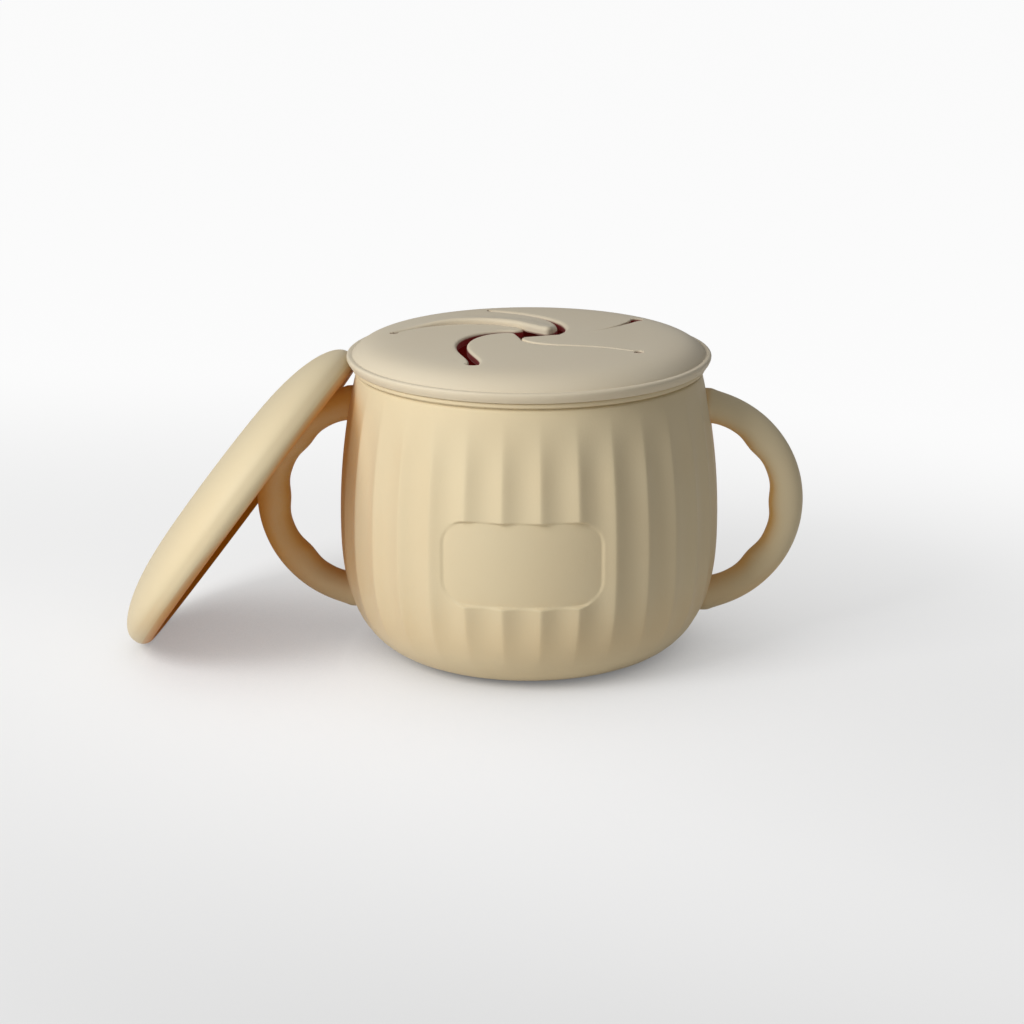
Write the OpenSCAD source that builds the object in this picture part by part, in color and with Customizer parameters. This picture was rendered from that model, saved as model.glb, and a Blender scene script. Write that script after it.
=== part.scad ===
// Toddler snack cup: a fluted two-handled cup, a slit snack lid and a dust cover.
// Millimetres. The origin is the centre of the cup's foot, +Z is up, the handles
// lie along X and the badge faces -Y.

/* [Cup] */
// Largest radius of the cup, at the belly
cup_r = 46; // [42:0.5:52]
// Height of the belly above the table
belly_z = 32; // [28:0.5:36]
// Radius of the flat foot
foot_r = 25; // [18:0.5:30]
// Power of the foot's rounding: 2 is an ellipse, more is squarer
foot_power = 2.5; // [2:0.1:3.2]
// Radius of the neck, just below the rim bead
neck_r = 41.4; // [39:0.1:44]
// Height of the underside of the rim bead
neck_z = 69.6; // [62:0.2:80]
// Wall thickness of the cup
cup_wall = 3; // [2.4:0.1:4]
// Thickness of the cup's floor
cup_floor = 3.6; // [2.5:0.1:6]

/* [Rim] */
// How far the rim bead stands out from the neck
bead_out = 0.9; // [0.5:0.1:1.2]
// Height of the rim bead
bead_h = 1.1; // [0.8:0.1:2.5]
// Height of the lip above the bead, inside the lid
lip_h = 1.6; // [1:0.1:3]
// How far the lip stands in from the neck's outside
lip_in = 0.4; // [0.2:0.1:0.8]

/* [Flutes] */
// Number of flutes round the cup
flute_count = 32; // [12:1:40]
// Depth of a flute at the belly
flute_depth = 0.9; // [0.4:0.1:1.2]
// Height at which the flutes begin
flute_low = 4; // [3:0.5:10]
// Plain height between the flutes and the rim bead
flute_gap = 1; // [1:0.5:10]
// Length over which a flute fades in and out
flute_fade = 17; // [8:0.5:20]
// Half angle of the plain strip behind each handle
plain_half = 9; // [8:0.5:14]

/* [Badge] */
// Width of the recessed badge
badge_w = 37.8; // [24:0.1:48]
// Height of the recessed badge
badge_h = 20.2; // [12:0.1:28]
// Height of the badge's centre
badge_z = 33.1; // [28:0.1:38]
// Corner radius of the badge
badge_round = 6; // [2:0.5:6]
// Depth of the badge below the belly's surface
badge_depth = 1.1; // [0.6:0.1:1.4]

/* [Handles] */
// Radius of the handle's centre line
handle_r = 24.3; // [21:0.1:26]
// Radius of the handle's round section
handle_tube = 3.8; // [3:0.1:5]
// How far the handle's centre lies in from the belly
handle_in = 7.4; // [5:0.1:10]
// Height of the handle's centre
handle_z = 36.5; // [34:0.1:39]
// How far a finger bump stands in from the tube
bump_in = 0.7; // [0.2:0.1:3]
// Angle between neighbouring finger bumps
bump_pitch = 41; // [34:1:46]
// Power of a finger bump: more is narrower
bump_power = 4; // [2:1:8]
// How much thicker the handle is at its roots
root_flare = 1; // [0:0.1:2]
// How far the handle's ends reach into the cup's wall
root_sink = 0.4; // [0.2:0.1:1]

/* [Snack lid] */
// Clearance between the lid and the cup's lip
lid_clear = 0.3; // [0.2:0.05:0.5]
// How far the flange stands out from the rim bead
flange_out = 1.5; // [0.8:0.1:2.5]
// Height of the flange
flange_h = 2.7; // [2:0.1:4]
// Width of the ledge between the flange's edge and the crown
ledge_w = 1.5; // [0.5:0.1:2]
// Rise of the crown above the ledge
crown_rise = 3.5; // [2.5:0.1:5]
// Power of the crown: more is a flatter top and a tighter shoulder
crown_power = 14; // [8:1:18]
// Thickness of the slit top
lid_t = 2.2; // [1.6:0.1:3]
// Wall thickness of the plug inside the mouth
plug_wall = 1.8; // [1.2:0.1:3]
// Depth of the plug below the lip's top
plug_h = 5; // [3:0.5:10]

/* [Slits] */
// Distance of each slit's end from the middle
slit_r = [31.4, 30.5, 33.4, 32.5, 33.4];
// Direction of each slit's end, from +X
slit_turn = [-112.4, -30.3, 38.8, 110, 174];
// How far each slit turns round the middle, in degrees
slit_twist = [205, 142, 34, 102, 103];
// Power of each slit's curl: more is straighter near its end
slit_curl = [2, 3.8, 1.1, 1.2, 1];
// Width of each slit
slit_gap = [2.4, 0.9, 0.9, 2.2, 1];
// Diameter of the hole at each slit's end
slit_end_d = 2.8; // [2.4:0.1:4]
// Distance from the middle at which each slit meets the opening between the flaps' tips
slit_in = [6.8, 2.8, 6, 6.2, 8.6];
// How far each flap stands up at rest, in degrees
flap_lift = [0, 0, 0, 2.8, 0];
// Clearance round a flap's bending edge
bend_clear = 0.15; // [0.1:0.05:0.3]

/* [Dust cover] */
// Radius of the dust cover
cover_r = 44; // [43:0.1:50]
// Height of the dust cover
cover_h = 12.5; // [10:0.1:16]
// Thickness of the cover's side
cover_wall = 3.2; // [3:0.1:4]
// Thickness of the cover's top
cover_top_t = 2.4; // [1.6:0.1:3.2]
// Radius of the rounding on the cover's edge
cover_edge = 3; // [1:0.1:3]
// Height of the straight side above the cover's edge
cover_side = 4.8; // [3.2:0.1:6]
// Width of the rounded shoulder
cover_shoulder = 26; // [8:0.5:30]
// Turn of the leaning cover about the upright line through its middle
cover_yaw = 5; // [0:0.5:10]
// How far above the rim bead the cover touches the lid's flange
cover_touch = 0.7; // [0.2:0.1:1]
// Gap between the cover's top edge and the flange that it leans on
cover_gap = 0.3; // [0.2:0.05:1]

/* [Hidden] */
$fn = 96;
cream = [0.87, 0.80, 0.66];
// Overlap that keeps cuts clean
cut = 1;

// Heights and radii that follow from the sizes above
bead_r = neck_r + bead_out;
bead_z = neck_z + bead_h;
lip_r = neck_r - lip_in;
lip_z = bead_z + lip_h;
mouth_r = neck_r - cup_wall;
flange_r = bead_r + flange_out;
ledge_z = bead_z + flange_h;
crown_r = flange_r - ledge_w;
crown_z = ledge_z + crown_rise;
plate_z = crown_z - lid_t;
groove_z = lip_z + lid_clear;
plug_r = mouth_r - lid_clear;
flute_pitch = 360 / flute_count;
flute_high = neck_z - flute_gap;
// How far the flange's lower half stands in from its edge, and its foot out from the bead
flange_draft = 0.3;
flange_foot = 0.2;
// Chamfers on the rim bead, and on the lip, the flange and the plug
bead_edge = 0.3;
lid_edge = 0.5;
// How far a flap's rounded edge stays from the hole at its first slit's end
root_margin = 1;
// Step along a slit that gives its direction
slit_step = 0.05;
// Angle at which the handle's sweep ends, inside the cup
handle_end = 100;

// Smooth step from 0 at a to 1 at b
function smooth(x, a, b) = let (t = min(max((x - a) / (b - a), 0), 1)) t * t * (3 - 2 * t);

// Squared ellipse: 0 at the foot, 1 at the belly, for a height t from 0 to 1
function foot_curve(t) = pow(1 - pow(1 - min(max(t, 0), 1), foot_power), 1 / foot_power);

// Outer radius of the plain cup: a squared ellipse up to the belly, a parabola above
function cup_outer(z) = z < belly_z
    ? foot_r + (cup_r - foot_r) * foot_curve(z / belly_z)
    : cup_r - (cup_r - neck_r) * pow((z - belly_z) / (neck_z - belly_z), 2);

// Inner radius of the cup: the same forms, one wall further in and on top of the floor
function cup_inner(z) = z < belly_z
    ? foot_r - cup_wall + (cup_r - foot_r) * foot_curve((z - cup_floor) / (belly_z - cup_floor))
    : cup_outer(z) - cup_wall;

// Depth of the flutes at an angle from the badge and a height
function flute(angle, z) = flute_depth
    * smooth(z, flute_low, flute_low + flute_fade)
    * (1 - smooth(z, flute_high - flute_fade, flute_high))
    * smooth(abs(abs(angle) - 90), plain_half, plain_half + flute_pitch / 2)
    * abs(cos(180 * angle / flute_pitch));

// Heights from a to b in n steps
function steps(a, b, n) = [for (i = [0:n]) a + (b - a) * i / n];

// Heights of the rings of the cup's wall, closer together on the rounded foot
wall_heights = concat([for (t = [0, 0.02, 0.08, 0.25, 0.55]) t * flute_low],
    [for (i = [0:17]) flute_low + (flute_high - flute_low) * pow(i / 17, 1.2)],
    [neck_z]);

// --- Cup ---

// The fluted cup up to its neck, as rings of points with four steps to each flute
module cup_shell() {
    columns = flute_count * 4;
    last = len(wall_heights) - 1;
    ring_points = [for (z = wall_heights, i = [0:columns - 1])
        let (turn = i * 360 / columns, angle = turn > 180 ? turn - 360 : turn,
             r = cup_outer(z) - flute(angle, z))
        [r * sin(angle), -r * cos(angle), z]];
    walls = [for (j = [0:last - 1], i = [0:columns - 1])
        let (here = j * columns, k = (i + 1) % columns)
        [here + i, here + columns + i, here + columns + k, here + k]];
    bottom = [for (i = [0:columns - 1]) i];
    top = [for (i = [0:columns - 1]) last * columns + columns - 1 - i];
    polyhedron(ring_points, concat(walls, [bottom, top]), convexity = 6);
}

// The bead that the lid rests on and the lip inside the lid
module cup_rim() {
    rotate_extrude() polygon([[0, neck_z - cut], [mouth_r + cut, neck_z - cut], [mouth_r + cut, neck_z],
        [bead_r - bead_edge, neck_z], [bead_r, neck_z + bead_edge], [bead_r, bead_z], [lip_r, bead_z],
        [lip_r, lip_z - lid_edge], [lip_r - lid_edge, lip_z], [0, lip_z]]);
}

module cup_bowl() {
    rotate_extrude() polygon(concat([[0, cup_floor]],
        [for (t = [0, 0.02, 0.08, 0.2, 0.4, 0.7, 1])
            let (z = cup_floor + t * (belly_z - cup_floor)) [cup_inner(z), z]],
        [for (z = steps(belly_z, neck_z, 6)) if (z > belly_z) [cup_inner(z), z]],
        [[mouth_r, lip_z + cut], [0, lip_z + cut]]));
}

// The recess for the badge: an upright rounded block, kept outside the cup's core
module badge_recess() {
    low = badge_z - badge_h / 2 - cut;
    high = badge_z + badge_h / 2 + cut;
    intersection() {
        translate([0, 0, badge_z]) rotate([90, 0, 0]) linear_extrude(cup_r + cut)
            rounded_rectangle(badge_w, badge_h, badge_round);
        rotate_extrude() polygon(concat(
            [for (z = steps(low, high, 6)) [cup_outer(z) - badge_depth, z]],
            [[cup_r + cut, high], [cup_r + cut, low]]));
    }
}

module rounded_rectangle(w, h, r) {
    square([w - 2 * r, h], center = true);
    square([w, h - 2 * r], center = true);
    for (x = [-1, 1], y = [-1, 1]) translate([x * (w / 2 - r), y * (h / 2 - r)]) circle(r);
}

module cup_body() {
    color(cream) difference() {
        union() {
            cup_shell();
            cup_rim();
        }
        cup_bowl();
        badge_recess();
    }
}

// --- Handles ---

// How far the handle's inner side stands in from a plain tube, at an angle round its centre:
// three finger bumps, and a flare towards each root
function handle_wave(a) = abs(a) < 1.5 * bump_pitch
    ? bump_in * pow(abs(cos(180 * a / bump_pitch)), bump_power)
    : root_flare * smooth(abs(a), 1.5 * bump_pitch, handle_end);

// One handle on the +X side, as rings of points carried round its centre
module handle_sweep() {
    rings = 56;
    sides = 16;
    tube_points = [for (a = steps(-handle_end, handle_end, rings), k = [0:sides - 1])
        let (turn = k * 360 / sides, deep = handle_tube + handle_wave(a) / 2,
             middle = handle_r + handle_tube - deep, r = middle + deep * cos(turn))
        [r * cos(a), handle_tube * sin(turn), r * sin(a)]];
    walls = [for (j = [0:rings - 1], k = [0:sides - 1])
        let (here = j * sides, next = (k + 1) % sides)
        [here + k, here + sides + k, here + sides + next, here + next]];
    first = [for (k = [0:sides - 1]) k];
    last = [for (k = [sides - 1:-1:0]) rings * sides + k];
    polyhedron(tube_points, concat(walls, [first, last]), convexity = 4);
}

module handle() {
    difference() {
        translate([cup_r - handle_in, 0, handle_z]) handle_sweep();
        cup_core();
    }
}

// The plain cup without its hollow, a little smaller, which the handles end in
module cup_core() {
    rotate_extrude() polygon(concat([[0, 0]],
        [for (z = wall_heights) if (z > 0) [cup_outer(z) - root_sink, z]],
        [[0, neck_z]]));
}

module right_handle() { color(cream) handle(); }
module left_handle() { color(cream) rotate([0, 0, 180]) handle(); }

// --- Snack lid ---

slit_count = len(slit_r);

function polar(r, a) = [r * cos(a), r * sin(a)];
// Slits are numbered round the lid, so that the one after the last is the first
function slit_end(k) = polar(slit_r[k % slit_count], slit_turn[k % slit_count]);
function slit_angle(i, r) = slit_turn[i] - slit_twist[i] * pow(max(1 - r / slit_r[i], 0), slit_curl[i]);

// Edge of slit k at a part t of the way from the opening to its end: side is 1 or -1
function slit_point(k, t, side) =
    let (i = k % slit_count, r = slit_in[i] + (slit_r[i] - slit_in[i]) * t,
         here = polar(r, slit_angle(i, r)),
         way = polar(r + slit_step, slit_angle(i, r + slit_step)) - here,
         out = [-way.y, way.x] / norm(way))
    here + side * slit_gap[i] / 2 * out;

// Flap k bends along the line between the ends of its two slits, a little further in
function bend_way(k) = let (way = slit_end(k + 1) - slit_end(k)) way / norm(way);
function bend_out(k) = let (way = bend_way(k)) [way.y, -way.x];
function bend_turn(k) = let (out = bend_out(k)) atan2(out.y, out.x);
function bend_r(k) = slit_end(k) * bend_out(k) - lid_t / 2 - bend_clear;

module slit_end_holes() {
    for (k = [0:slit_count - 1]) translate(slit_end(k)) circle(d = slit_end_d, $fn = 32);
}

// Crown of the lid: flat in the middle, falling off by a high power at the shoulder
function crown(r) = ledge_z + crown_rise * (1 - pow(r / crown_r, crown_power));

module lid_section() {
    polygon(concat(
        [[0, plate_z], [0, crown_z]],
        [for (t = [0.6, 0.72, 0.8, 0.86, 0.9, 0.94, 0.97, 1]) [t * crown_r, crown(t * crown_r)]],
        [[flange_r - lid_edge, ledge_z], [flange_r, ledge_z - lid_edge],
         [flange_r - flange_draft, bead_z + flange_h / 2],
         [bead_r + flange_foot, bead_z], [lip_r + lid_clear, bead_z],
         [lip_r + lid_clear, groove_z], [plug_r, groove_z],
         [plug_r, lip_z - plug_h + lid_edge], [plug_r - lid_edge, lip_z - plug_h],
         [plug_r - plug_wall, lip_z - plug_h], [plug_r - plug_wall, plate_z]]));
}

module snack_lid() {
    color(cream) difference() {
        rotate_extrude() lid_section();
        translate([0, 0, plate_z - cut]) linear_extrude(lid_t + 2 * cut) {
            polygon([for (k = [0:slit_count - 1]) slit_end(k)]);
            slit_end_holes();
        }
    }
}

// Where the rounded bending edge of flap k starts, short of the hole at its first slit's end
function root_start(k) = slit_end(k) * bend_way(k) + slit_end_d / 2 + root_margin;

// Where it ends, short of the flap across the next slit
function root_end(k) = min([for (t = steps(2 / 3, 1, 48))
    let (p = slit_point(k + 1, t, 1))
    if (p * bend_out(k) > bend_r(k) - lid_t / 2 - bend_clear) p * bend_way(k)]) - 2 * bend_clear;

// Everything on the inner side of flap k's bending line, and a little beyond it
module inside_bend(k, beyond) {
    reach = max(slit_r);
    rotate([0, 0, bend_turn(k)]) translate([-reach, -reach, plate_z - cut])
        cube([reach + bend_r(k) + beyond, 2 * reach, lid_t + 2 * cut]);
}

// Flap k, between slit k and the next one, bending at a rounded edge. It also keeps
// inside the edge that the flap before it bends at
module flap(k) {
    parts = steps(0, 1, 16);
    color(cream) bend(k, flap_lift[k]) intersection() {
        translate([0, 0, plate_z]) linear_extrude(lid_t) difference() {
            polygon(concat([for (t = parts) slit_point(k, t, 1)],
                [for (i = [len(parts) - 1:-1:0]) slit_point(k + 1, parts[i], -1)]));
            slit_end_holes();
        }
        inside_bend(k + slit_count - 1, lid_t / 2 - bend_clear);
        union() {
            inside_bend(k, 0);
            rotate([0, 0, bend_turn(k)]) translate([bend_r(k), root_end(k), plate_z + lid_t / 2])
                rotate([90, 0, 0]) cylinder(h = root_end(k) - root_start(k), d = lid_t, $fn = 32);
        }
    }
}

// Turns its children about flap k's bending line
module bend(k, angle) {
    axis = concat(bend_r(k) * bend_out(k), [plate_z + lid_t / 2]);
    translate(axis) rotate(angle, concat(bend_way(k), [0])) translate(-axis) children();
}

module front_flap() { flap(0); }
module right_flap() { flap(1); }
module back_right_flap() { flap(2); }
module back_left_flap() { flap(3); }
module front_left_flap() { flap(4); }

// --- Dust cover, leaning on the lid's flange with its edge on the table ---

cover_lean = asin((bead_z + cover_touch - cover_edge) / (2 * cover_r - cover_edge));
cover_reach = norm([cover_r * cos(cover_lean) * cos(cover_yaw), cover_r * sin(cover_yaw)])
    - cover_edge * sin(cover_lean) * cos(cover_yaw);
cover_x = flange_r - flange_draft + cover_gap + cover_reach;
cover_z = (cover_r - cover_edge) * sin(cover_lean) - cover_edge * cos(cover_lean) + cover_edge;

// Rounded shoulder from the top down to the straight side, for a cap of outer radius r
function cover_round(r, h, side) = [for (a = [90, 78, 67, 54, 38, 20, 0])
    [r - cover_shoulder * (1 - cos(a)), side + (h - side) * sin(a)]];

module cover_outside() {
    rotate_extrude() polygon(concat([[0, cover_h]], cover_round(cover_r, cover_h, cover_side),
        [for (a = steps(0, 90, 5)) [cover_r - cover_edge * (1 - cos(a)), cover_edge * (1 - sin(a))]],
        [[0, 0]]));
}

module cover_hollow() {
    r = cover_r - cover_wall;
    rotate_extrude() polygon(concat([[0, cover_h - cover_top_t]],
        cover_round(r, cover_h - cover_top_t, cover_side - cover_wall + cover_top_t),
        [[r, -cut], [0, -cut]]));
}

module dust_cover() {
    color(cream) translate([-cover_x, 0, cover_z])
        rotate([0, 0, -cover_yaw]) rotate([0, -cover_lean, 0]) difference() {
            cover_outside();
            cover_hollow();
        }
}

cup_body();
left_handle();
right_handle();
snack_lid();
front_flap();
right_flap();
back_right_flap();
back_left_flap();
front_left_flap();
dust_cover();
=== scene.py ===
"""A fluted two-handled toddler snack cup with a slit soft lid and a leaning dust cover.

Sizes are in millimetres, as in the part's source, and become metres when a mesh is made.
The cup stands on z = 0 with its axis on Z, its handles along X and its badge facing -Y.
"""
import math
import bpy
import numpy as np
from mathutils import Matrix, Vector


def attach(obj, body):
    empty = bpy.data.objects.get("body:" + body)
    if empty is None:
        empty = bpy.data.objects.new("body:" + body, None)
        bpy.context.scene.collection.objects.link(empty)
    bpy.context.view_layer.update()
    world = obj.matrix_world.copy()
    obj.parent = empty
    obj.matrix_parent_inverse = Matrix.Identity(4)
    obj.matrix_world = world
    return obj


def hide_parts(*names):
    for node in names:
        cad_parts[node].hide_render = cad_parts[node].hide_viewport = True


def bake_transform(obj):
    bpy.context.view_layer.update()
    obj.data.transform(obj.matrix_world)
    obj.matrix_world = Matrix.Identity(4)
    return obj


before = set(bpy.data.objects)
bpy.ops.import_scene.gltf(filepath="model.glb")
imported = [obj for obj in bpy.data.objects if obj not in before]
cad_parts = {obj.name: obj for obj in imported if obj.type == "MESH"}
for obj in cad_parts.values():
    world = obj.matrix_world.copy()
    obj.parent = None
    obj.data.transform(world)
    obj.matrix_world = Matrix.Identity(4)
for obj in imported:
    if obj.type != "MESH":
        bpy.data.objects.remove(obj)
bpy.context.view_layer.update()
MM = 0.001

# ---------------------------------------------------------------- sizes
# Cup
CUP_R, BELLY_Z, FOOT_R, FOOT_POWER = 46.0, 32.0, 25.0, 2.5
NECK_R, NECK_Z, CUP_WALL, CUP_FLOOR = 41.4, 69.6, 3.0, 3.6
BEAD_R, BEAD_Z, LIP_R, LIP_Z = 42.3, 70.7, 41.0, 72.3
MOUTH_R = NECK_R - CUP_WALL
# Flutes
FLUTES, FLUTE_DEPTH, FLUTE_LOW, FLUTE_HIGH, FLUTE_FADE = 32, 0.9, 4.0, 68.6, 17.0
PLAIN_HALF = 9.0
ARRIS_SOFT = 0.14
# Badge
BADGE_W, BADGE_H, BADGE_Z, BADGE_ROUND, BADGE_DEPTH = 37.8, 20.2, 33.1, 6.0, 1.1
BADGE_SLOPE = 0.55
# Handles
HANDLE_R, HANDLE_TUBE, HANDLE_X, HANDLE_Z = 24.3, 3.8, 38.6, 36.5
BUMP_IN, BUMP_PITCH, BUMP_POWER, ROOT_FLARE, HANDLE_END = 0.7, 41.0, 4, 1.0, 100.0
FILLET = 0.35
# Snack lid
CROWN_R, CROWN_Z, CROWN_RISE, CROWN_POWER = 42.3, 76.9, 3.5, 14.0
LEDGE_Z = CROWN_Z - CROWN_RISE
FLANGE_R, LID_T = 43.8, 2.2
PLATE_Z = CROWN_Z - LID_T
GROOVE_Z, PLUG_R, PLUG_WALL, PLUG_Z = 72.6, 38.1, 1.8, 67.3
# Slits, from the front left one anticlockwise: radius and direction of the end, turn and curl
# on the way in, radius of the inner end, gap there and at the end, and radius of the end's hole
SLIT_R = (31.4, 30.5, 33.4, 32.5, 33.4)
SLIT_TURN = (-112.4, -30.3, 38.8, 110.0, 174.0)
SLIT_TWIST = (205.0, 142.0, 34.0, 102.0, 103.0)
SLIT_CURL = (2.0, 3.8, 1.1, 1.2, 1.0)
SLIT_IN = (6.8, 2.8, 6.0, 6.2, 8.6)
SLIT_GAP_IN = (2.2, 0.05, 0.05, 2.8, 0.4)
SLIT_GAP_END = (2.5, 0.15, 2.4, 0.6, 0.3)
SLIT_GAP_POWER = (1.0, 1.0, 5.0, 1.0, 1.0)
SLIT_END_R = (1.5, 1.2, 1.5, 0.5, 0.7)
# Rounding of the slits' upper edges, by slit, and of all lower edges
TOP_ROUND, LOW_ROUND = (0.75, 0.35, 0.3, 1.0, 0.9), 0.35
ROUND_FADE = 1.6
# Flaps: rest angle and how far the second edge stands up, by flap, the tip's corners, the join
# with the rim, and the bending line's clearance and half width
FLAP_LIFT = (0.0, 0.7, 0.0, 2.8, 0.0)
EDGE_CURL = (0.0, 0.0, 0.0, 1.3, 0.0)
TIP_CORNER = 1.5
JOIN_R = 35.8
BEND_CLEAR, BEND_HALF = 0.15, 2.25
FLAPS = ("front_flap", "right_flap", "back_right_flap", "back_left_flap", "front_left_flap")
# Dust cover
COVER_R, COVER_H, COVER_WALL, COVER_TOP, COVER_EDGE = 44.0, 12.5, 3.2, 2.4, 3.0
COVER_SIDE, COVER_SHOULDER = 3.7, 26.0
COVER_YAW, COVER_TOUCH, COVER_GAP, FLANGE_DRAFT = 5.0, 0.7, 0.3, 0.3
# Attribute that says how deep inside a point is, by which the materials paint shade inside
DEPTH = "depth_inside"


# ---------------------------------------------------------------- small maths
def smooth(x, a, b):
    """Smooth step: 0 below a, 1 above b, 3t^2 - 2t^3 of the part t in between."""
    t = np.clip((x - a) / (b - a), 0.0, 1.0)
    return t * t * (3 - 2 * t)


def spread(*stops):
    """Numbers from stop to stop: each (value, step) pair fills the way to the next value."""
    parts = []
    for (a, step), (b, _) in zip(stops, stops[1:]):
        parts.append(np.linspace(a, b, max(int(round(abs(b - a) / step)), 1), endpoint=False))
    return np.concatenate(parts + [[stops[-1][0]]])


def arc(centre, radius, start, end, count):
    """Points of a circle's arc in the (r, z) plane, from one angle to another in degrees."""
    a = np.radians(np.linspace(start, end, count))
    return np.stack([centre[0] + radius * np.cos(a), centre[1] + radius * np.sin(a)], 1)


def rows_of(*parts):
    """Stacks single (r, z) points and arrays of them into one profile."""
    return np.concatenate([np.atleast_2d(np.asarray(p, float)) for p in parts])


# ---------------------------------------------------------------- mesh making
def mesh_piece(name, points, faces, normals=None, flat=None):
    """An object from points in millimetres and faces; flat lists faces left out of the
    smoothing, and normals overrides the smooth normal of the points where it isn't NaN."""
    mesh = bpy.data.meshes.new(name)
    mesh.from_pydata((np.asarray(points) * MM).tolist(), [], [list(f) for f in faces])
    flat = np.zeros(len(faces), bool) if flat is None else flat
    mesh.polygons.foreach_set("use_smooth", ~flat)
    if normals is not None:
        corner_points = np.empty(len(mesh.loops), int)
        mesh.loops.foreach_get("vertex_index", corner_points)
        starts, totals = (np.empty(len(mesh.polygons), int) for _ in range(2))
        mesh.polygons.foreach_get("loop_start", starts)
        mesh.polygons.foreach_get("loop_total", totals)
        face_normals = np.empty(len(mesh.polygons) * 3)
        mesh.polygons.foreach_get("normal", face_normals)
        face_normals = face_normals.reshape(-1, 3)
        areas = np.empty(len(mesh.polygons))
        mesh.polygons.foreach_get("area", areas)
        corner_faces = np.repeat(np.arange(len(totals)), totals)
        smooth_face = ~flat[corner_faces]
        total = np.zeros((len(mesh.vertices), 3))
        np.add.at(total, corner_points[smooth_face],
                  (face_normals * areas[:, None])[corner_faces[smooth_face]])
        length = np.linalg.norm(total, axis=1, keepdims=True)
        total = np.where(length > 0, total / np.maximum(length, 1e-30), (0, 0, 1))
        total = np.where(np.isnan(normals), total, normals)
        corners = np.where(smooth_face[:, None], total[corner_points],
                           face_normals[corner_faces])
        mesh.normals_split_custom_set(corners.tolist())
    piece = bpy.data.objects.new(name, mesh)
    bpy.context.scene.collection.objects.link(piece)
    return piece


def mark(piece, depth):
    """Stores how deep inside each point is, from 0 to 1, for the piece's material to paint shade by."""
    piece.data.attributes.new(DEPTH, "FLOAT", "POINT").data.foreach_set("value", depth)
    return piece


def tube_faces(rows, columns, closed_rows=False):
    """Quads of a grid of rows whose columns close on themselves, facing outwards where the
    rows run upwards and the columns run anticlockwise seen from above."""
    i = np.arange(rows if closed_rows else rows - 1)[:, None]
    j = np.arange(columns)[None, :]
    here, right = i * columns, (j + 1) % columns
    above = (i + 1) % rows * columns
    quads = np.stack(np.broadcast_arrays(here + j, here + right, above + right, above + j), -1)
    return quads.reshape(-1, 4)


def fan(pole, ring, outward):
    """Triangles from a pole to a closed ring of point numbers."""
    nxt = np.roll(ring, -1)
    tri = np.stack([np.full(len(ring), pole), ring, nxt], 1)
    return tri if outward else tri[:, ::-1]


# ---------------------------------------------------------------- cup
def cup_outer(z):
    """Outer radius: a squared ellipse from the foot to the belly, a parabola above it."""
    t = np.clip(z / BELLY_Z, 0, 1)
    foot = FOOT_R + (CUP_R - FOOT_R) * (1 - (1 - t) ** FOOT_POWER) ** (1 / FOOT_POWER)
    upper = CUP_R - (CUP_R - NECK_R) * (np.maximum(z - BELLY_Z, 0) / (NECK_Z - BELLY_Z)) ** 2
    return np.where(z < BELLY_Z, foot, upper)


def cup_inner(z):
    """Inner radius: the outer forms one wall further in, starting on the floor."""
    t = np.clip((z - CUP_FLOOR) / (BELLY_Z - CUP_FLOOR), 0, 1)
    foot = (FOOT_R - CUP_WALL
            + (CUP_R - FOOT_R) * (1 - (1 - t) ** FOOT_POWER) ** (1 / FOOT_POWER))
    return np.where(z < BELLY_Z, foot, cup_outer(z) - CUP_WALL)


def flute(angle, z):
    """Depth of the flutes: the size of a cosine, so that sharp arrises stand between hollow
    flutes, softened a little at the arris and faded out by smooth steps at both ends and
    beside the handles. The angle runs from the badge, in degrees."""
    wave = np.cos(np.radians(180 * angle / (360 / FLUTES)))
    wave = (np.sqrt(wave ** 2 + ARRIS_SOFT ** 2) - ARRIS_SOFT) / (
        math.sqrt(1 + ARRIS_SOFT ** 2) - ARRIS_SOFT)
    beside = smooth(np.abs(np.abs(angle) - 90), PLAIN_HALF, PLAIN_HALF + 180 / FLUTES)
    return (FLUTE_DEPTH * wave * beside * smooth(z, FLUTE_LOW, FLUTE_LOW + FLUTE_FADE)
            * (1 - smooth(z, FLUTE_HIGH - FLUTE_FADE, FLUTE_HIGH)))


def badge_depth(x, z, side):
    """0 outside the badge and 1 inside: a smooth step across the edge of a rounded
    rectangle, by the signed distance from that edge."""
    dx = np.abs(x) - (BADGE_W / 2 - BADGE_ROUND)
    dz = np.abs(z - BADGE_Z) - (BADGE_H / 2 - BADGE_ROUND)
    outside = np.hypot(np.maximum(dx, 0), np.maximum(dz, 0)) + np.minimum(np.maximum(dx, dz), 0)
    return np.where(side, 1 - smooth(outside - BADGE_ROUND, -BADGE_SLOPE / 2, BADGE_SLOPE / 2), 0)


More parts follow.
